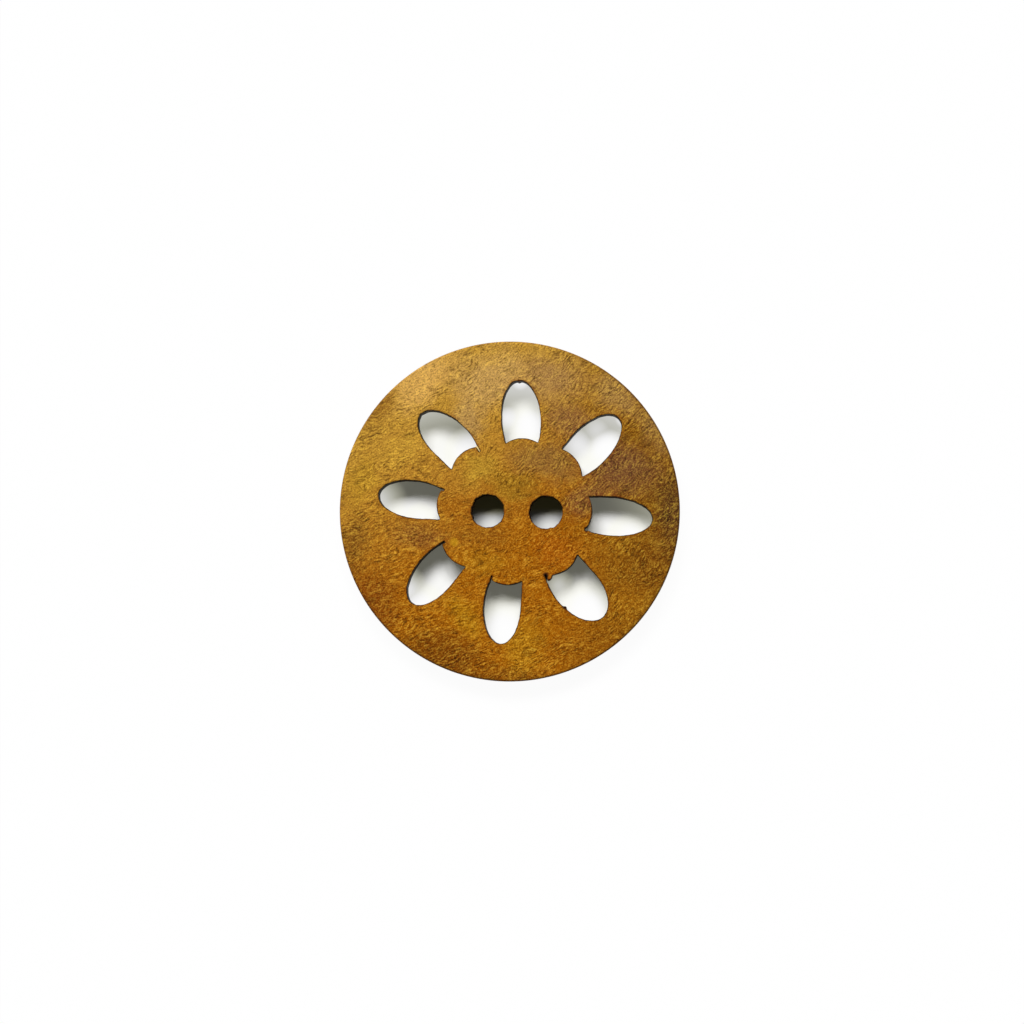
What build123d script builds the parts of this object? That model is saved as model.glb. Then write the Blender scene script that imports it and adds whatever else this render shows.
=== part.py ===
from build123d import *
import os
from collections import namedtuple
from math import acos, atan2, cos, sin

# A flat round wooden button, burnt out of thin board by a laser.
# Two sewing holes pierce its scalloped middle, and petal-shaped openings ring it. The
# flower sits a little off the middle of the disc, and no two of its petals are alike.
# Lengths are in millimetres, and angles in degrees, anticlockwise from +X.
# The button lies on its back: the origin is the middle of the back and +Z its front.

# The disc
BUTTON_DIAMETER = 30.0
THICKNESS = 2.0
EDGE_ROUND = 0.15

# The flower's centre, and the wood that its petals would leave at the rim if that centre
# were the disc's own
FLOWER_X = 0.4
FLOWER_Y = 0.05
RIM_WIDTH = 2.95

# An even petal: its width, how far its ellipse would run on inwards under the lobe that
# closes it, that lobe's radius and the distance of the lobe's crest from the centre
PETAL_WIDTH = 3.4
PETAL_TAIL = 1.6
LOBE_RADIUS = 2.6
LOBE_CREST = 6.85

# The sewing holes: where the middle of the pair lies from the flower's centre, and the
# tilt of the line through both
HOLE_DIAMETER = 2.9
HOLE_SPACING = 5.15
HOLE_PAIR_X = 0.25
HOLE_PAIR_Y = -0.1
HOLE_PAIR_TILT = -1.4

# The width of the slits that the beam burnt where it ran on past a petal
KERF = 0.14

# How each real petal strays from the even one. Its row holds the bearing and its lean off
# that bearing, what the tip, the tail and the width have over the values above, the turn
# and the overreach of the lobe, the place of the anticlockwise corner as an angle around
# the lobe, the length and turn of the slit at the clockwise corner, and the radius of the
# stub of wood that is left in that corner, if there is one.
FIELDS = "bearing lean tip tail width lobe_turn crest corner slit slit_turn stub"
Petal = namedtuple("Petal", FIELDS, defaults=[0])
PETALS = [
    Petal(-3.5, -1.0, 0.15, 0.2, 0.0, 3.5, 0.05, 28, 0.0, 0),
    Petal(40.0, 6.0, 0.25, 0.1, 0.15, 0.5, 0.25, 32, 0.0, 0),
    Petal(85.5, 8.0, -0.5, 0.7, 0.05, -6.5, -0.4, 45, 0.0, 0),
    Petal(132.5, 5.5, -0.2, -0.1, 0.05, 2.0, 0.0, 32, 0.5, -18),
    Petal(173.5, -1.5, 0.0, -0.3, -0.1, 0.5, 0.0, 34, 0.25, -11),
    Petal(218.5, 12.0, 0.15, -0.2, 0.05, -6.5, 0.25, 48, 0.35, -20),
    Petal(263.0, 4.0, -0.25, -0.1, -0.15, -1.0, -0.25, 37, 0.4, -13),
    Petal(309.0, 3.0, 0.15, -0.1, 0.6, 6.0, 0.15, 27, 0.65, -30, 0.55),
]

FRONT = Plane.XY.offset(THICKNESS)
FLOWER = Location((FLOWER_X, FLOWER_Y, 0))
TIP_REACH = BUTTON_DIAMETER / 2 - RIM_WIDTH


def straight_side(half_length, half_width, corner):
    """From the corner, the tangent that leaves the ellipse on its anticlockwise side."""
    squeezed = Vector(corner.X / half_length, corner.Y / half_width)
    turn = atan2(squeezed.Y, squeezed.X) - acos(1 / squeezed.length)
    return [(corner.X, corner.Y), (half_length * cos(turn), half_width * sin(turn))]


def outside(half_length, half_width, corner):
    """Whether the corner lies clear of the ellipse, so that a straight side leads to it."""
    return (corner.X / half_length) ** 2 + (corner.Y / half_width) ** 2 > 1


def draw_petal(petal):
    """The outline of one petal-shaped opening, drawn on the front."""
    tip = TIP_REACH + petal.tip
    root = LOBE_CREST - PETAL_TAIL - petal.tail
    half_length = (tip - root) / 2
    half_width = (PETAL_WIDTH + petal.width) / 2
    middle = Rotation(0, 0, petal.bearing) * Pos(root + half_length, 0) * Rotation(0, 0, petal.lean)
    lobe_bearing = Rotation(0, 0, petal.bearing + petal.lobe_turn)
    lobe = lobe_bearing * Pos(LOBE_CREST + petal.crest - LOBE_RADIUS, 0)
    corner = (middle.inverse() * lobe * Rotation(0, 0, petal.corner) * Pos(LOBE_RADIUS, 0)).position
    with BuildSketch(FRONT) as outline:
        with Locations(FLOWER * middle):
            Ellipse(half_length, half_width)
            if outside(half_length, half_width, corner):
                side = straight_side(half_length, half_width, corner)
                Polygon((0, 0), (-half_length, 0), *side, align=None)
        with Locations(FLOWER * lobe):
            Circle(LOBE_RADIUS, mode=Mode.SUBTRACT)
        clockwise = Axis((0, 0, 0), -(FLOWER * middle).y_axis.direction)
        if petal.stub:
            with Locations(outline.vertices().sort_by(clockwise)[-1]):
                Circle(petal.stub, mode=Mode.SUBTRACT)
        if petal.slit:
            start = outline.vertices().sort_by(clockwise)[-1]
            heading = Rotation(0, 0, petal.bearing + petal.lean + 180 + petal.slit_turn)
            with Locations(Pos(start.X, start.Y) * heading * Pos((petal.slit - KERF) / 2, 0)):
                SlotOverall(petal.slit + KERF, KERF)
    return outline.sketch


with BuildPart() as button:
    Cylinder(BUTTON_DIAMETER / 2, THICKNESS, align=(Align.CENTER, Align.CENTER, Align.MIN))
    fillet(button.edges(), EDGE_ROUND)
    for row in PETALS:
        add(draw_petal(row))
        extrude(amount=-THICKNESS, mode=Mode.SUBTRACT)
    pair = FLOWER * Pos(HOLE_PAIR_X, HOLE_PAIR_Y, THICKNESS) * Rotation(0, 0, HOLE_PAIR_TILT)
    with Locations(pair):
        with GridLocations(HOLE_SPACING, 0, 2, 1):
            Hole(HOLE_DIAMETER / 2)

button.part.label = "button"
os.makedirs("parts", exist_ok=True)
export_step(button.part, "parts/button.step")
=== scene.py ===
import math
from collections import namedtuple

import bmesh
import bpy
import numpy as np
from mathutils import Matrix, Vector, noise
from mathutils.geometry import delaunay_2d_cdt
from mathutils.kdtree import KDTree


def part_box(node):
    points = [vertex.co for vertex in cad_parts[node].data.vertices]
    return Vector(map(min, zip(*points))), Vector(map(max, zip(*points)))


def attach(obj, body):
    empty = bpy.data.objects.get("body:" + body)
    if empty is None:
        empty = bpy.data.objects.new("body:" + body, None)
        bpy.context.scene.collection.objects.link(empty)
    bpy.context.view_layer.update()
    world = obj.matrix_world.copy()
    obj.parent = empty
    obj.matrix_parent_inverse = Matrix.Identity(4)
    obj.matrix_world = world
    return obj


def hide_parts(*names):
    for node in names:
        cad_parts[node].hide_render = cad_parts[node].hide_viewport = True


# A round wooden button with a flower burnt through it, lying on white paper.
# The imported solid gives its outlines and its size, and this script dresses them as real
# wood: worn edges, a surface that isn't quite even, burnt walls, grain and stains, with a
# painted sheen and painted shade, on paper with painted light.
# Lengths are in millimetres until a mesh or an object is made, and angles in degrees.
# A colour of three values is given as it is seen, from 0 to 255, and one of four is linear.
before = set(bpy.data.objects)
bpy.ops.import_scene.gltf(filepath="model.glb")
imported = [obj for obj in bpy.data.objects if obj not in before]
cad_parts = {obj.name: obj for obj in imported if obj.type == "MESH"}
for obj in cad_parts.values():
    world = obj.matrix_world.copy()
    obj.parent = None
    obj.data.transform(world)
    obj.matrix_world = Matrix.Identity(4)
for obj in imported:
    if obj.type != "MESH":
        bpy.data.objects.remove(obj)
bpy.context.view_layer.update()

MM = 0.001
NODE = "button"
low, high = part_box(NODE)
RADIUS = min(high.x - low.x, high.y - low.y) / 2 / MM
THICKNESS = (high.z - low.z) / MM

# The mesh: how far apart its points lie along an edge, on the rim and over a face, the rows
# of its straight walls, and the turns at which their rounded ends have a row
EDGE_STEP = 0.06
RIM_STEP = 0.1
FACE_STEP = 0.2
WALL_ROWS = 6
ROUND_TURNS = (0, 30, 60, 90)

# How often the outlines' corners are eased, how near two points count as one in the solid
# and in the triangles, and the angle between faces from which an edge shows as sharp
EASING = 2
WELD = 0.001
TOUCHING = 1e-7
SHARP_ANGLE = 24

# The points over a face: how far each strays from its even place, and how far it keeps
# clear of an edge, as shares of their step
FACE_STRAY = 0.2
FACE_CLEAR = 0.6

# The attribute that holds how far each point lies from a burnt edge
EDGE_DISTANCE = "edge_distance"

# What is uneven, at random: how far it goes either way, and over about what pitch
Waves = namedtuple("Waves", "reach pitch")
BEAM_WOBBLE = Waves(0.02, 0.9)
BEAM_TEETH = Waves(0.02, 0.26)
HOLE_TEETH = Waves(0.06, 0.26)
BROAD_DIPS = Waves(0.007, 2.6)
FINE_DIPS = Waves(0.003, 0.7)
WOBBLE_SEED = 5
TEETH_SEED = 9
FRONT_SEED = 3
BACK_SEED = 4

# The rounding of the openings' edges, how far a face dips on average, and the length under
# which an opening is a thread hole, whose teeth are larger
EDGE_ROUND = 0.04
FACE_DIP = 0.01
HOLE_LIMIT = 4.0

# What the beam left at the edges: a place, how far it juts into the opening (or cuts into
# the wood, if less than nothing) and its half width
Burr = namedtuple("Burr", "x y reach spread")
BURRS = [
    Burr(0.83, 11.55, 0.12, 0.16),
    Burr(4.92, -8.46, 0.26, 0.14),
    Burr(-7.73, 8.51, -0.10, 0.14),
    Burr(-3.30, 0.50, 0.07, 0.10),
    Burr(-3.30, -0.45, 0.08, 0.10),
    Burr(6.78, -1.62, -0.12, 0.12),
]


# The outlines
def front_outlines(node):
    """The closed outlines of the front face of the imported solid, the rim's first."""
    mesh = bmesh.new()
    mesh.from_mesh(node.data)
    bmesh.ops.remove_doubles(mesh, verts=mesh.verts, dist=WELD * MM)
    front = {f for f in mesh.faces if min(v.co.z for v in f.verts) > high.z - WELD * MM}
    links = {}
    for edge in mesh.edges:
        if len(front.intersection(edge.link_faces)) == 1:
            a, b = edge.verts
            links.setdefault(a, []).append(b)
            links.setdefault(b, []).append(a)
    outlines = []
    while links:
        point = next(iter(links))
        outline = []
        while point in links:
            outline.append((point.co.x / MM, point.co.y / MM))
            following = [p for p in links.pop(point) if p in links]
            point = following[0] if following else None
        outlines.append(np.array(outline))
    mesh.free()
    return sorted(outlines, key=lambda o: -np.ptp(o[:, 0]))


def even_steps(outline, step):
    """The outline divided evenly, anticlockwise, with its sharpest corners eased."""
    x, y = outline[:, 0], outline[:, 1]
    if np.sum(x * np.roll(y, -1) - np.roll(x, -1) * y) < 0:
        outline = outline[::-1]
    closed = np.vstack([outline, outline[:1]])
    along = np.concatenate([[0], np.cumsum(np.hypot(*np.diff(closed, axis=0).T))])
    count = round(along[-1] / step)
    places = np.arange(count) * along[-1] / count
    points = np.column_stack([np.interp(places, along, closed[:, i]) for i in (0, 1)])
    for _ in range(EASING):
        points = (np.roll(points, 1, 0) + 2 * points + np.roll(points, -1, 0)) / 4
    return points


def outward(points):
    """The unit normals of an anticlockwise outline, which point away from its inside."""
    ahead = np.roll(points, -1, 0) - np.roll(points, 1, 0)
    ahead /= np.hypot(*ahead.T)[:, None]
    return np.column_stack([ahead[:, 1], -ahead[:, 0]])


def uneven(x, y, waves, seed):
    """A smooth random value that changes from place to place as the waves say."""
    return waves.reach * noise.noise(Vector((x, y, seed)) / waves.pitch)


def burn(points):
    """The edge of an opening as the beam left it: a little unsteady, with its burrs."""
    teeth = HOLE_TEETH if np.ptp(points, axis=0).max() < HOLE_LIMIT else BEAM_TEETH
    shift = np.array([uneven(x, y, BEAM_WOBBLE, WOBBLE_SEED) + uneven(x, y, teeth, TEETH_SEED)
                      for x, y in points])
    for burr in BURRS:
        apart = np.hypot(points[:, 0] - burr.x, points[:, 1] - burr.y)
        shift -= burr.reach * np.exp(-(apart / burr.spread) ** 2)
    return points + outward(points) * shift[:, None]


def inside(points, outline):
    """Which of the points lie within the outline."""
    found = np.zeros(len(points), bool)
    for (ax, ay), (bx, by) in zip(outline, np.roll(outline, -1, 0)):
        if ay == by:
            continue
        crosses = (points[:, 1] > ay) != (points[:, 1] > by)
        reach = ax + (points[:, 1] - ay) * (bx - ax) / (by - ay)
        found ^= crosses & (points[:, 0] < reach)
    return found


def in_wood(points, outlines):
    """Which of the points lie within the first outline and in none of the others."""
    found = inside(points, outlines[0])
    for outline in outlines[1:]:
        found &= ~inside(points, outline)
    return found


def nearest(outlines):
    """A search tree of every point of the outlines."""
    points = np.vstack(outlines)
    tree = KDTree(len(points))
    for k, (x, y) in enumerate(points):
        tree.insert((x, y, 0), k)
    tree.balance()
    return tree


# The mesh
def levels(rounding):
    """A wall's profile from front to back: the inset and the height of each row of points."""
    turns = [math.radians(turn) for turn in ROUND_TURNS]
    top = [(rounding * (1 - math.sin(t)), THICKNESS - rounding * (1 - math.cos(t))) for t in turns]
    straight = THICKNESS - 2 * rounding
    middle = [(0.0, THICKNESS - rounding - straight * k / WALL_ROWS) for k in range(1, WALL_ROWS)]
    return top + middle + [(inset, THICKNESS - height) for inset, height in reversed(top)]


def wall_rows(outline, into_wood, rounding, vertices):
    """Adds the vertices of one wall, and gives back their rows from front to back."""
    rows = []
    for inset, height in levels(rounding):
        start = len(vertices)
        vertices.extend((x, y, height) for x, y in outline + into_wood * inset)
        rows.append(list(range(start, len(vertices))))
    return rows


def wall_faces(rows, is_rim):
    """The four-sided faces between the rows of a wall, which face away from the wood."""
    faces = []
    for upper, lower in zip(rows, rows[1:]):
        quads = zip(upper, upper[1:] + upper[:1], lower[1:] + lower[:1], lower)
        faces.extend(quad[::-1] if is_rim else quad for quad in quads)
    return faces


def face_points(outlines, seed):
    """Points spread over a face, well clear of its outlines."""
    rng = np.random.default_rng(seed)
    rows = np.arange(-RADIUS, RADIUS, FACE_STEP * math.sqrt(3) / 2)
    spots = [(x + FACE_STEP / 2 * (k % 2), y) for k, y in enumerate(rows)
             for x in np.arange(-RADIUS, RADIUS, FACE_STEP)]
    spots = np.array(spots) + rng.uniform(-FACE_STRAY, FACE_STRAY, (len(spots), 2)) * FACE_STEP
    spots = spots[in_wood(spots, outlines)]
    tree = nearest(outlines)
    clear = [tree.find((x, y, 0))[2] > FACE_CLEAR * FACE_STEP for x, y in spots]
    return spots[clear]


def fill_face(outlines, rings, vertices, height, inward, seed):
    """Triangles over a face, between rings of vertices that are there already. Its new
    vertices dip inwards by a little, unevenly, as sanded wood does."""
    first = len(vertices)
    for x, y in face_points(outlines, seed):
        dip = FACE_DIP + uneven(x, y, BROAD_DIPS, seed) + uneven(x, y, FINE_DIPS, seed)
        vertices.append((x, y, height + inward * dip))
    order = [k for ring in rings for k in ring] + list(range(first, len(vertices)))
    place = {k: n for n, k in enumerate(order)}
    edges = [(place[a], place[b]) for ring in rings for a, b in zip(ring, ring[1:] + ring[:1])]
    flat = [Vector(vertices[k][:2]) for k in order]
    spots, _, triangles, origins, _, _ = delaunay_2d_cdt(flat, edges, [], 0, TOUCHING)
    made = []
    for spot, sources in zip(spots, origins):
        if not sources:
            vertices.append((spot.x, spot.y, height))
        made.append(order[sources[0]] if sources else len(vertices) - 1)
    triangles = np.array(triangles)
    middles = np.array([list(spot) for spot in spots])[triangles].mean(1)
    kept = triangles[in_wood(middles, outlines)]
    turned = kept if inward < 0 else kept[:, ::-1]
    return [tuple(made[k] for k in triangle) for triangle in turned]


def button_shape():
    """The vertices and the faces of the button, one closed shape, and its openings' edges."""
    rim_line, *cuts = front_outlines(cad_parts[NODE])
    rim_round = RADIUS - np.hypot(*rim_line.T).max()
    rim = even_steps(rim_line, RIM_STEP)
    rim *= RADIUS / np.hypot(*rim.T)[:, None]
    openings = [burn(even_steps(cut, EDGE_STEP)) for cut in cuts]
    walls = [(rim, -outward(rim), rim_round)]
    walls += [(opening, outward(opening), EDGE_ROUND) for opening in openings]
    vertices, faces, front, back = [], [], [], []
    for outline, into_wood, rounding in walls:
        rows = wall_rows(outline, into_wood, rounding, vertices)
        faces += wall_faces(rows, outline is rim)
        front.append(rows[0])
        back.append(rows[-1])
    flat_outlines = [np.array([vertices[k][:2] for k in ring]) for ring in front]
    faces += fill_face(flat_outlines, front, vertices, THICKNESS, -1, FRONT_SEED)
    faces += fill_face(flat_outlines, back, vertices, 0.0, 1, BACK_SEED)
    return vertices, faces, openings


def add_object(name, data):
    """A new object in the scene, with the data."""
    made = bpy.data.objects.new(name, data)
    bpy.context.scene.collection.objects.link(made)
    return made


def build_button():
    """The button's mesh, with the distance of each vertex to a burnt edge."""
    vertices, faces, openings = button_shape()
    mesh = bpy.data.meshes.new("button_wood")
    mesh.from_pydata([tuple(c * MM for c in vertex) for vertex in vertices], [], faces)
    mesh.shade_smooth()
    mesh.set_sharp_from_angle(angle=math.radians(SHARP_ANGLE))
    tree = nearest(openings)
    distance = mesh.attributes.new(EDGE_DISTANCE, "FLOAT", "POINT")
    distance.data.foreach_set("value", [tree.find((x, y, 0))[2] for x, y, z in vertices])
    return add_object("button_wood", mesh)


# Materials
WHITE = (1, 1, 1, 1)


def colour(seen):
    """The colour in the linear values that nodes use, by the curve of a standard screen."""
    parts = [value / 255 for value in seen]
    return tuple(p / 12.92 if p <= 0.04045 else ((p + 0.055) / 1.055) ** 2.4 for p in parts) + (1.0,)


class Nodes:
    """The nodes of one material or world, added by short calls that give back an output."""

    def __init__(self, tree):
        self.tree = tree
        tree.nodes.clear()

    def add(self, kind, inputs, output=0, **settings):
        made = self.tree.nodes.new(kind)
        for name, value in settings.items():
            setattr(made, name, value)
        for name, value in inputs.items():
            if isinstance(value, bpy.types.NodeSocket):
                self.tree.links.new(value, made.inputs[name])
            else:
                made.inputs[name].default_value = value
        return made.outputs[output]

    def end(self, kind, shader):
        output = self.tree.nodes.new(kind)
        self.tree.links.new(shader, output.inputs["Surface"])

    def place(self):
        return self.scaled(self.add("ShaderNodeTexCoord", {}, "Object"), 1 / MM)

    def math(self, operation, a, b=0.0):
        return self.add("ShaderNodeMath", {0: a, 1: b}, operation=operation)

    def vector(self, operation, a, b):
        return self.add("ShaderNodeVectorMath", {0: a, 1: b}, operation=operation)

    def length(self, vector):
        return self.add("ShaderNodeVectorMath", {0: vector}, "Value", operation="LENGTH")

    def along(self, vector, direction):
        inputs = {0: vector, 1: direction}
        return self.add("ShaderNodeVectorMath", inputs, "Value", operation="DOT_PRODUCT")

    def apart(self, a, b):
        return self.length(self.vector("SUBTRACT", a, b))

    def scaled(self, vector, scale):
        return self.add("ShaderNodeVectorMath", {0: vector, 3: scale}, operation="SCALE")

    def noise(self, vector, scale, detail, roughness=0.5, output=0):
        inputs = {"Vector": vector, "Scale": scale, "Detail": detail, "Roughness": roughness}
        return self.add("ShaderNodeTexNoise", inputs, output)

    def ramp(self, value, start, end, low=0.0, high=1.0):
        inputs = {0: value, 1: start, 2: end, 3: low, 4: high}
        return self.add("ShaderNodeMapRange", inputs, interpolation_type="SMOOTHSTEP")

    def between(self, share, a, b):
        return self.add("ShaderNodeMix", {0: share, 2: a, 3: b}, 0, data_type="FLOAT")

    def mix(self, share, a, b, blend="MIX"):
        return self.add("ShaderNodeMix", {0: share, 6: a, 7: b}, 2, data_type="RGBA", blend_type=blend)


def new_material(name):
    """An empty material, and its nodes."""
    material = bpy.data.materials.new(name)
    material.use_nodes = True
    return material, Nodes(material.node_tree)


# The ground tone of the wood, and the two that it turns to: one upwards and a little to the
# left, paler and partly a painted sheen towards the lamps, the other to the right, each with
# the stretch over which it comes in
GROUND = (161, 91, 0)
UPPER_TONE_AND_SHEEN = (186, 138, 50)
UPPER_WAY = (-0.38, 0.92, 0)
UPPER_STRETCH = (-4, 13)
RIGHT = (130, 80, 8)
RIGHT_WAY = (1, 0, 0)
RIGHT_STRETCH = (2, 14)

# The stains that make the wood mottled, and the painted sheen that is the first of them: a
# middle, a long and a short reach, the turn of the long one, a colour and how strongly it shows
Stain = namedtuple("Stain", "x y long short turn colour share")
STAINS_AND_SHEEN = [
    # A painted sheen, pale gold, at the upper left towards the lamps
    Stain(-7.6, 11.6, 5.0, 2.8, 42, (222, 172, 92), 0.95),
    Stain(-1.8, 11.6, 5.0, 3.6, 8, (200, 158, 94), 0.9),
    Stain(-3.4, 8.2, 3.0, 2.2, 60, (180, 142, 88), 0.8),
    Stain(-11.8, 9.2, 3.0, 1.8, 48, (140, 88, 26), 0.8),
    Stain(-9.4, 5.4, 3.4, 1.8, 30, (198, 150, 52), 0.75),
    Stain(-13.0, 2.6, 3.4, 2.0, 75, (182, 136, 36), 0.8),
    Stain(-2.4, 3.8, 3.0, 2.0, 35, (178, 138, 42), 0.8),
    Stain(0.4, 2.4, 3.2, 1.9, 0, (146, 108, 22), 0.7),
    Stain(3.2, 4.4, 4.4, 2.3, -12, (134, 94, 48), 0.9),
    Stain(5.6, 7.6, 3.8, 2.6, -35, (128, 84, 54), 0.85),
    Stain(3.8, 11.8, 4.6, 3.2, -15, (160, 120, 78), 0.8),
    Stain(9.4, 10.4, 3.6, 2.4, -45, (174, 134, 76), 0.8),
    Stain(13.0, 7.4, 3.6, 2.2, -60, (160, 120, 66), 0.75),
    Stain(9.8, 3.8, 5.4, 3.4, -12, (112, 70, 46), 1.0),
    Stain(7.2, 1.0, 3.4, 2.4, 14, (120, 74, 46), 0.85),
    Stain(14.6, -0.3, 6.0, 3.2, 88, (82, 48, 26), 1.0),
    Stain(12.6, -4.6, 4.6, 2.8, 66, (120, 66, 6), 0.75),
    Stain(4.4, -3.4, 3.4, 2.4, -38, (166, 84, 0), 0.8),
    Stain(-4.6, 0.4, 2.2, 1.7, 0, (156, 88, 4), 0.75),
    Stain(-2.6, -2.2, 3.4, 1.4, -5, (140, 84, 16), 0.65),
    Stain(-2.2, -4.3, 2.8, 1.6, 0, (168, 114, 12), 0.6),
    Stain(-8.0, -2.2, 3.8, 1.9, -14, (130, 76, 32), 0.9),
    Stain(-13.7, -2.8, 3.8, 2.0, 82, (122, 76, 22), 0.85),
    Stain(-12.4, -8.0, 4.8, 3.4, -55, (128, 62, 4), 1.0),
    Stain(-5.4, -13.0, 6.0, 2.8, -22, (114, 56, 0), 1.0),
    Stain(0.4, -14.6, 4.4, 1.6, 0, (116, 62, 6), 0.7),
    Stain(-4.2, -9.2, 3.4, 2.0, -60, (174, 120, 10), 0.85),
    Stain(10.4, -8.4, 3.2, 2.0, 50, (158, 96, 6), 0.7),
    Stain(1.6, -11.8, 4.0, 2.4, 70, (174, 120, 14), 0.75),
    Stain(7.4, -12.0, 4.6, 2.6, 25, (138, 76, 0), 0.7),
]

# How strongly all stains show, how much of a stain fades from full to nothing, and how deep
# they go, in thicknesses of the button
STAIN_STRENGTH = 0.8
STAIN_FADE = 0.8
STAIN_DEPTH = 1.5

# Bends that move the places of stains and grain at random: waves per millimetre, their
# detail and the whole width of the move. The grain's are made one on top of the other.
Bend = namedtuple("Bend", "scale detail width")
STAIN_BENDS = [Bend(0.3, 2, 2.4), Bend(1.3, 3, 1.2)]
GRAIN_BENDS = [Bend(0.4, 1, 1.4), Bend(5 / 3, 1, 0.32)]

# The grain: waves per millimetre along a fibre, across it and through the thickness, and
# their detail. The roughness is how much of the finer detail shows.
FINE_FIBRES = (2.1, 7.2, 1.5)
FINE_DETAIL = 1.5
BROAD_FIBRES = (0.8, 2.0, 0.8)
BROAD_DETAIL = 3
SPECKS = 7.0
SPECK_DETAIL = 1
GRAIN_ROUGHNESS = 0.6

# The turn of the fibres at the lower left and at the upper right, and the stretch over
# which they change from one to the other
LEVEL_TURN = 22
STEEP_TURN = 46
STEEPER_WAY = (0.6, 0.4, 0)
STEEPER_STRETCH = (-5, 7)

# Patches where something shows more: waves per millimetre and their detail, the part of the
# waves' height over which the value changes, and the value's least and most
Patches = namedtuple("Patches", "scale detail start end least most")
TURNING = Patches(0.5, 2, 0.3, 0.7, -5, 5)
CLEARNESS = Patches(0.45, 2, 0.35, 0.65, 0.6, 1.25)
HAZINESS = Patches(1.1, 3, 0.4, 0.7, 0.0, 0.5)
CHARRING = Patches(1.9, 2, 0.35, 0.6, 0.5, 1.0)

# How the grain shades the wood: how far a value has to be from its middle for the shade to
# start and to be full, and how much it darkens on one side and lightens on the other
MIDDLE = 0.5
Shading = namedtuple("Shading", "start full darker lighter")
BROAD_SHADING = Shading(0.02, 0.18, 0.34, 0.34)
FINE_SHADING = Shading(0.0, 0.18, 0.62, 0.66)
SPECK_SHADING = Shading(0.0, 0.2, 0.46, 0.48)

# What the darkest grain multiplies each colour by, and what the lightest adds to it
DARKER = (0.16, 0.12, 0.08, 1)
LIGHTER = (0.26, 0.18, 0.02, 1)

# The burnt edges: a scorched haze, and a line of char with the distances where it starts
# to show and is full, and its greatest share
SCORCH = (132, 60, 6)
HAZE_WIDTH = 0.4
CHAR = (24, 12, 5)
CHAR_STRETCH = (0.11, 0.04)
CHAR_SHARE = 0.92

# Small marks on the front: a middle, a radius, a colour and how strongly it shows. Each is
# at its full strength within a share of its radius.
Mark = namedtuple("Mark", "x y radius colour share")
MARKS = [
    Mark(0.83, 11.52, 0.17, CHAR, 0.9),
    Mark(4.92, -8.46, 0.34, CHAR, 1.0),
    Mark(3.20, -5.64, 0.34, CHAR, 0.95),
    Mark(3.70, -6.20, 0.55, (152, 66, 14), 0.6),
    Mark(6.80, -1.74, 0.20, CHAR, 0.9),
    Mark(-4.87, -2.73, 0.50, (200, 152, 24), 0.5),
]
MARK_CORE = 0.4

# The thin dark line at the rim, a little char all round and painted shade away from the lamps:
# how far from the edge it starts and is full. The painted shade shows most towards the lower
# right, with the stretch over which its share changes.
RIM_CHAR_AND_SHADE = (70, 44, 16)
RIM_LINE_START = 0.22
RIM_LINE_FULL = 0.08
LOWER_RIGHT_WAY = (1, -1, 0)
LOWER_RIGHT_STRETCH = (-14, 0)
RIM_LINE_SHARES = (0.1, 0.7)

# The walls: how much of the surface's normal still points up or down where they start to
# show and are full, the stripes on them, their colours at the openings and at the rim, and
# how far from the rim's edge the rim's own colours start and are full
WALL_STRETCH = (0.8, 0.4)
STRIPES = (6, 6, 0.5)
STRIPE_DETAIL = 2
BURNT = ((8, 4, 2), (40, 22, 9))
BROWNED = ((92, 52, 14), (150, 96, 32))
RIM_ZONE_START = 1.0
RIM_ZONE_FULL = 0.8

# The relief, from the fine fibres and the specks, and the satin finish, which is smoother
# where the broad fibres are lighter
RELIEF_SHARES = (0.6, 0.4)
RELIEF_STRENGTH = 0.25
RELIEF_DEPTH = 0.03
FINISH_STRETCH = (0.3, 0.7)
FINISH_ROUGHNESS = (0.62, 0.46)
FINISH_SPECULAR = 0.04


def bend(n, place, how):
    """A random vector to move a place by."""
    wave = n.noise(place, how.scale, how.detail, output=1)
    return n.scaled(n.vector("SUBTRACT", wave, (MIDDLE, MIDDLE, MIDDLE)), how.width)


def patchy(n, place, patches):
    """A value that changes from patch to patch."""
    wave = n.noise(place, patches.scale, patches.detail)
    return n.ramp(wave, patches.start, patches.end, patches.least, patches.most)


def stained(n, place):
    """The colour of the wood before its grain: three broad tones, the upper one partly a painted
    sheen, and the stains, the first of them a painted sheen.
    """
    warped = place
    for how in STAIN_BENDS:
        warped = n.vector("ADD", warped, bend(n, place, how))
    upper = n.ramp(n.along(warped, UPPER_WAY), *UPPER_STRETCH)
    tone = n.mix(upper, colour(GROUND), colour(UPPER_TONE_AND_SHEEN))
    tone = n.mix(n.ramp(n.along(warped, RIGHT_WAY), *RIGHT_STRETCH), tone, colour(RIGHT))
    for stain in STAINS_AND_SHEEN:
        inputs = {
            "Vector": warped,
            "Location": (stain.x, stain.y, THICKNESS),
            "Rotation": (0, 0, math.radians(stain.turn)),
            "Scale": (stain.long, stain.short, STAIN_DEPTH * THICKNESS),
        }
        near = n.add("ShaderNodeMapping", inputs, vector_type="TEXTURE")
        blot = n.add("ShaderNodeTexGradient", {0: near}, 1, gradient_type="SPHERICAL")
        shown = n.ramp(blot, 0.0, STAIN_FADE, high=STAIN_STRENGTH * stain.share)
        tone = n.mix(shown, tone, colour(stain.colour))
    return tone


def fibres(n, place, turn):
    """Fine and broad fibres that run at a turn, each as a value from 0 to 1."""
    inputs = {"Vector": place, "Angle": -math.radians(turn)}
    laid = n.add("ShaderNodeVectorRotate", inputs, rotation_type="Z_AXIS")
    fine = n.noise(n.vector("MULTIPLY", laid, FINE_FIBRES), 1.0, FINE_DETAIL, GRAIN_ROUGHNESS)
    broad = n.noise(n.vector("MULTIPLY", laid, BROAD_FIBRES), 1.0, BROAD_DETAIL, GRAIN_ROUGHNESS)
    return fine, broad


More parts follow.
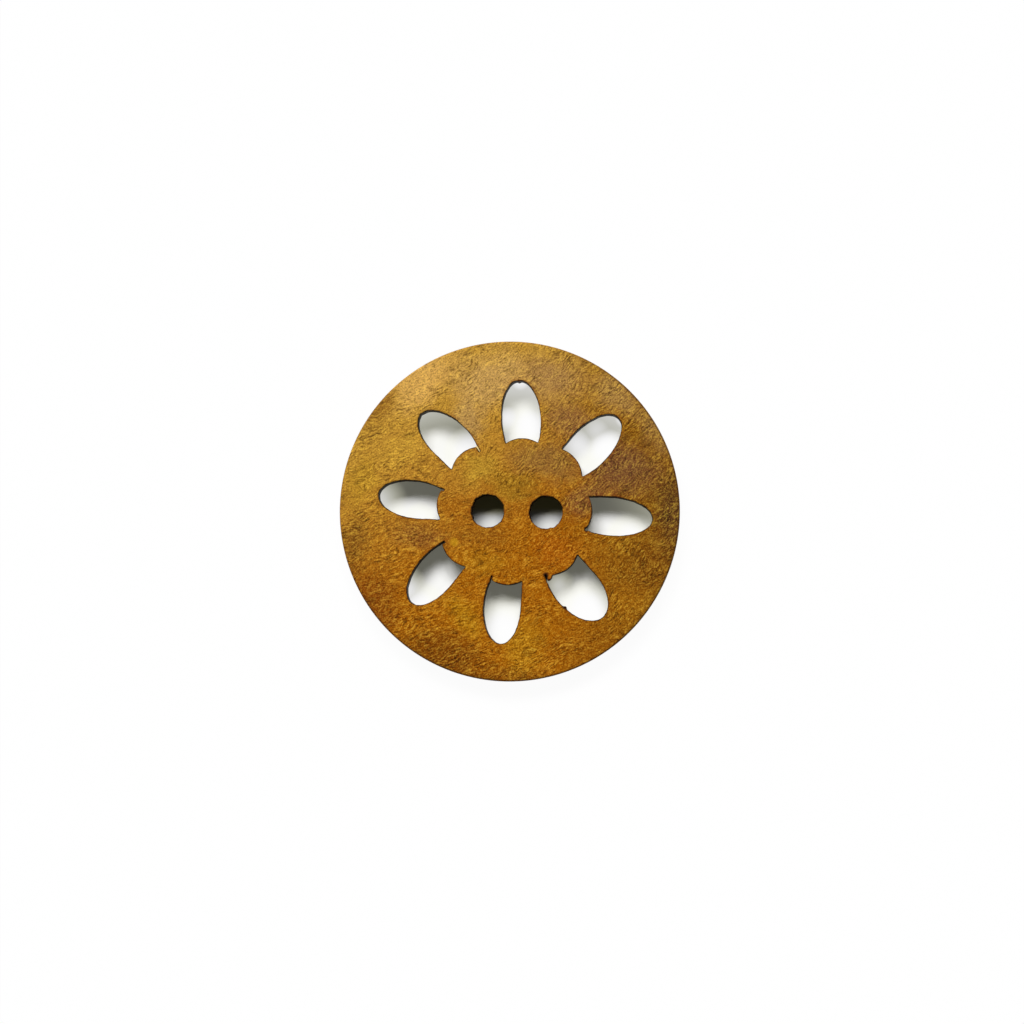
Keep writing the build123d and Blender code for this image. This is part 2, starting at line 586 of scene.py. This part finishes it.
def grain(n, place):
    """The wood's figure, as values from 0 to 1: fine fibres, broad ones, and specks. The
    fibres run nearly level at the lower left, and more steeply at the upper right."""
    bent = place
    for how in GRAIN_BENDS:
        bent = n.vector("ADD", bent, bend(n, bent, how))
    level = fibres(n, bent, LEVEL_TURN)
    steep = fibres(n, bent, STEEP_TURN)
    steeper = n.math("ADD", n.along(place, STEEPER_WAY), patchy(n, place, TURNING))
    share = n.ramp(steeper, *STEEPER_STRETCH)
    fine, broad = (n.between(share, a, b) for a, b in zip(level, steep))
    specks = n.noise(place, SPECKS, SPECK_DETAIL, GRAIN_ROUGHNESS)
    return fine, broad, specks


def shaded(n, tone, value, shading, clear=1.0):
    """The tone, darkened where a value is low and lightened where it is high."""
    low_side = (-1, shading.darker, DARKER, "MULTIPLY")
    high_side = (1, shading.lighter, LIGHTER, "ADD")
    for side, share, change, blend in (low_side, high_side):
        start, full = MIDDLE + side * shading.start, MIDDLE + side * shading.full
        shown = n.math("MULTIPLY", n.ramp(value, start, full, high=share), clear)
        tone = n.mix(shown, tone, change, blend)
    return tone


def marked(n, place, tone):
    """The tone with its small marks, each of them fading out at its edge."""
    for mark in MARKS:
        apart = n.apart(place, (mark.x, mark.y, THICKNESS))
        shown = n.ramp(apart, mark.radius, MARK_CORE * mark.radius, high=mark.share)
        tone = n.mix(shown, tone, colour(mark.colour))
    return tone


def scorched(n, place, tone):
    """The tone with a patchy haze near the burnt edges, and a line of char along them."""
    edge = n.add("ShaderNodeAttribute", {}, "Fac", attribute_name=EDGE_DISTANCE)
    haze = n.math("MULTIPLY", n.ramp(edge, HAZE_WIDTH, 0.0), patchy(n, place, HAZINESS))
    tone = n.mix(haze, tone, colour(SCORCH))
    line = n.ramp(edge, *CHAR_STRETCH, high=CHAR_SHARE)
    return n.mix(n.math("MULTIPLY", line, patchy(n, place, CHARRING)), tone, colour(CHAR))


def rim_char_and_shade(n, place, from_middle, tone):
    """The tone with the thin dark line at the rim: a little char all round, and painted shade towards
    the lower right.
    """
    line = n.ramp(from_middle, RADIUS - RIM_LINE_START, RADIUS - RIM_LINE_FULL)
    share = n.ramp(n.along(place, LOWER_RIGHT_WAY), *LOWER_RIGHT_STRETCH, *RIM_LINE_SHARES)
    return n.mix(n.math("MULTIPLY", line, share), tone, colour(RIM_CHAR_AND_SHADE))


def walled(n, place, from_middle, tone):
    """The tone, or that of the walls where the surface is upright."""
    normal = n.add("ShaderNodeNewGeometry", {}, "Normal")
    wall = n.ramp(n.math("ABSOLUTE", n.along(normal, (0, 0, 1))), *WALL_STRETCH)
    stripes = n.noise(n.vector("MULTIPLY", place, STRIPES), 1.0, STRIPE_DETAIL)
    burnt, browned = (n.mix(stripes, colour(a), colour(b)) for a, b in (BURNT, BROWNED))
    at_rim = n.ramp(from_middle, RADIUS - RIM_ZONE_START, RADIUS - RIM_ZONE_FULL)
    return n.mix(wall, tone, n.mix(at_rim, burnt, browned))


def relief(n, fine, specks):
    """The normal of the surface with its fibres and specks raised."""
    parts = [n.math("MULTIPLY", part, share) for part, share in zip((fine, specks), RELIEF_SHARES)]
    height = n.math("ADD", *parts)
    inputs = {"Strength": RELIEF_STRENGTH, "Distance": RELIEF_DEPTH * MM, "Height": height}
    return n.add("ShaderNodeBump", inputs)


def button_wood():
    """Stained wood with a satin finish: mottled, short-grained, and burnt at its cuts, with a painted
    sheen at the upper left and painted shade along the rim at the lower right.
    """
    material, n = new_material("button_wood")
    place = n.place()
    from_middle = n.length(n.vector("MULTIPLY", place, (1, 1, 0)))
    fine, broad, specks = grain(n, place)
    tone = stained(n, place)
    tone = shaded(n, tone, broad, BROAD_SHADING)
    tone = shaded(n, tone, fine, FINE_SHADING, patchy(n, place, CLEARNESS))
    tone = shaded(n, tone, specks, SPECK_SHADING)
    tone = marked(n, place, tone)
    tone = scorched(n, place, tone)
    tone = rim_char_and_shade(n, place, from_middle, tone)
    tone = walled(n, place, from_middle, tone)
    n.end("ShaderNodeOutputMaterial", n.add("ShaderNodeBsdfPrincipled", {
        "Base Color": tone,
        "Roughness": n.ramp(broad, *FINISH_STRETCH, *FINISH_ROUGHNESS),
        "Normal": relief(n, fine, specks),
        "Specular IOR Level": FINISH_SPECULAR,
    }))
    return material


# The paper: its colour, and its colour within the thread holes, painted darker as painted
# shade where they are lit, and darker and browner again as painted shade in their shade,
# which lies above the given heights
PAPER = (251, 251, 251)
HOLE_PAPER_PAINTED_DARKER = (226, 227, 225)
HOLE_SHADE = (196, 190, 130)
HOLE_SHADE_STRETCH = (-0.5, 0.5)

# The painted light on the paper, a glow for light that creeps under the button: least at the
# deepest place, and more over a stretch away from it, which counts less sideways
DEEPEST = (-1, -2, 0)
DEEP_SHAPE = (0.75, 1, 1)
CREEP_STRETCH = (7, 16)
CREEP_LEAST = 0.1
CREEP_MORE = 0.68

# Distances from the flower's middle: where the paper of the thread holes ends and the painted
# glow starts, and where the open paper beyond the button starts, which painted light makes
# almost free of the button's shadow
FLOWER = (0.4, 0.05, 0)
INNER_STRETCH = (4.9, 6.5)
OUTER_STRETCH = (13.5, 14.6)
OUTER_SHARE = 0.96

# The corner at the stub of wood, which no light reaches, so the painted glow stays off it, and
# the slit that shows a painted glimmer of warm light
PIT = (3.2, -5.6, 0)
PIT_STRETCH = (0.3, 0.6)
SLIT = (-2.78, 5.58, 0)
SLIT_STRETCH = (0.45, 0.3)
SLIT_LIGHT = (255, 222, 140)

# The painted glow is a little yellow where there is least of it
FAINT_LIGHT = (1, 1, 0.78, 1)
FAINT_STRETCH = (0.15, 0.8)

# Pools of painted light, where the glow for light creeping under the button shows most: a
# middle, a reach and a share
Glow = namedtuple("Glow", "x y reach share")
GLOWS = [
    Glow(0.9, 11.8, 2.4, 0.95),
    Glow(-0.3, 8.4, 2.2, 0.8),
    Glow(1.8, 7.7, 3.2, 0.85),
    Glow(10.2, 8.4, 2.2, 0.95),
    Glow(8.6, 5.8, 3.8, 0.85),
    Glow(6.0, 6.0, 3.2, 0.8),
    Glow(7.7, 7.3, 3.4, 0.66),
    Glow(-3.6, 5.6, 3.4, 0.85),
    Glow(-12.2, 0.8, 4.2, 0.7),
    Glow(-9.5, -6.9, 3.0, 0.85),
    Glow(-8.2, -8.6, 3.4, 0.95),
    Glow(-0.6, -10.6, 4.2, 0.9),
    Glow(6.8, -8.8, 3.8, 0.95),
    Glow(4.3, -6.6, 2.2, 0.55),
    Glow(10.6, -2.2, 3.0, 0.75),
    Glow(-8.0, -0.6, 2.2, 0.6),
]


def seen_directly(n):
    """1 for rays from the camera, and for those that gloss or glass sends on."""
    kinds = ("Is Camera Ray", "Is Glossy Ray", "Is Transmission Ray")
    rays = [n.add("ShaderNodeLightPath", {}, kind) for kind in kinds]
    return n.math("MAXIMUM", rays[0], n.math("MAXIMUM", rays[1], rays[2]))


def painted_glow(n, place, radius):
    """How much painted light, a glow for light that creeps under the button, each place of the paper
    has, from 0 to 1.
    """
    depth = n.length(n.vector("MULTIPLY", n.vector("SUBTRACT", place, DEEPEST), DEEP_SHAPE))
    light = n.math("ADD", n.ramp(depth, *CREEP_STRETCH, high=CREEP_MORE), CREEP_LEAST)
    for glow in GLOWS:
        more = n.ramp(n.apart(place, (glow.x, glow.y, 0)), glow.reach, 0.0, high=glow.share)
        light = n.math("MAXIMUM", light, more)
    light = n.math("MULTIPLY", light, n.ramp(radius, *INNER_STRETCH))
    light = n.math("MULTIPLY", light, n.ramp(n.apart(place, PIT), *PIT_STRETCH))
    return n.math("MAXIMUM", light, n.ramp(radius, *OUTER_STRETCH, high=OUTER_SHARE))


def paper():
    """White paper with painted light: a glow, most at the upper right, makes the shade in the
    button's openings pale there, and lifts almost all of the shadow round the button. In the
    thread holes the paper is painted darker, as painted shade."""
    material, n = new_material("paper")
    place = n.vector("MULTIPLY", n.place(), (1, 1, 0))
    radius = n.apart(place, FLOWER)
    light = painted_glow(n, place, radius)
    upper = n.ramp(n.along(place, (0, 1, 0)), *HOLE_SHADE_STRETCH)
    in_hole = n.mix(upper, colour(HOLE_PAPER_PAINTED_DARKER), colour(HOLE_SHADE))
    plain = n.mix(n.ramp(radius, *INNER_STRETCH), in_hole, colour(PAPER))
    tint = n.mix(n.ramp(light, *FAINT_STRETCH), FAINT_LIGHT, WHITE)
    tint = n.mix(n.ramp(n.apart(place, SLIT), *SLIT_STRETCH), tint, colour(SLIT_LIGHT))
    inputs = {
        0: n.math("MULTIPLY", light, seen_directly(n)),
        1: n.add("ShaderNodeBsdfDiffuse", {"Color": plain}),
        2: n.add("ShaderNodeEmission", {"Color": tint, "Strength": 1.0}),
    }
    n.end("ShaderNodeOutputMaterial", n.add("ShaderNodeMixShader", inputs))
    return material


# The stage: half the width of the floor, and how far it lies under the button's back
FLOOR_HALF = 1500.0
FLOOR_DROP = 0.01

# The photograph: the camera's lens and sensor, how near and how far it sees, its lean off
# the vertical and the bearing that it leans to, and the width and the middle of the disc in
# the picture of 1024 pixels a side
LENS = 100.0
SENSOR = 36.0
SIGHT = (10.0, 10000.0)
CAMERA_LEAN = 3.6
CAMERA_BEARING = -50.0
PICTURE = 1024
DISC_PIXELS = 340.6
DISC_X = 509.35
DISC_Y = 511.0

# The light: soft lamps side by side, as the parts of one long window, and a plain fill.
# Where the lamps stand, and how wide each is seen from the button.
LAMP_BEARINGS = (80.0, 101.0, 122.0)
LAMP_HEIGHT = 47.5
LAMP_WIDTH = 19.0
LAMP_SHARE = 0.95
FILL_SHARE = 0.05


def add_floor():
    """The paper that the button lies on, far wider than the picture."""
    mesh = bpy.data.meshes.new("floor")
    signs = ((-1, -1), (1, -1), (1, 1), (-1, 1))
    corners = [Vector((x * FLOOR_HALF, y * FLOOR_HALF, -FLOOR_DROP)) * MM for x, y in signs]
    mesh.from_pydata(corners, [], [(0, 1, 2, 3)])
    mesh.materials.append(paper())
    floor = add_object("floor", mesh)


def direction(bearing, height):
    """The unit vector that points to a bearing and a height above the horizon."""
    b, h = math.radians(bearing), math.radians(height)
    return Vector((math.cos(b) * math.cos(h), math.sin(b) * math.cos(h), math.sin(h)))


def add_lamps():
    """The lamps, which light a level surface to their share of 1."""
    share = LAMP_SHARE / len(LAMP_BEARINGS)
    for bearing in LAMP_BEARINGS:
        lamp = bpy.data.lights.new("lamp", "SUN")
        lamp.angle = math.radians(LAMP_WIDTH)
        lamp.energy = math.pi * share / math.sin(math.radians(LAMP_HEIGHT))
        light = add_object("lamp", lamp)
        light.rotation_mode = "QUATERNION"
        light.rotation_quaternion = direction(bearing, LAMP_HEIGHT).to_track_quat("Z", "Y")


def add_fill():
    """The fill, which lights everything evenly and is white where it is seen directly."""
    world = bpy.data.worlds.new("fill")
    world.use_nodes = True
    bpy.context.scene.world = world
    n = Nodes(world.node_tree)
    strength = n.ramp(seen_directly(n), 0.0, 1.0, FILL_SHARE, 1.0)
    inputs = {"Color": WHITE, "Strength": strength}
    n.end("ShaderNodeOutputWorld", n.add("ShaderNodeBackground", inputs))


def add_camera():
    """The camera looks almost straight down, from where the photograph was taken."""
    data = bpy.data.cameras.new("camera")
    data.lens = LENS
    data.sensor_width = SENSOR
    data.clip_start, data.clip_end = (reach * MM for reach in SIGHT)
    data.shift_x = (PICTURE / 2 - DISC_X) / PICTURE
    data.shift_y = (DISC_Y - PICTURE / 2) / PICTURE
    view_width = 2 * RADIUS * PICTURE / DISC_PIXELS
    distance = view_width * LENS / SENSOR
    towards = direction(CAMERA_BEARING, 90 - CAMERA_LEAN)
    side = Vector((0, 1, 0)).cross(towards).normalized()
    upright = towards.cross(side)
    camera = add_object("camera", data)
    camera.location = (Vector((0, 0, THICKNESS)) + towards * distance) * MM
    camera.rotation_mode = "QUATERNION"
    camera.rotation_quaternion = Matrix((side, upright, towards)).transposed().to_quaternion()
    bpy.context.scene.camera = camera


button = build_button()
button.data.materials.append(button_wood())
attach(button, "root")
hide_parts(NODE)
add_floor()
add_lamps()
add_fill()
add_camera()
bpy.context.scene.view_settings.view_transform = "Standard"
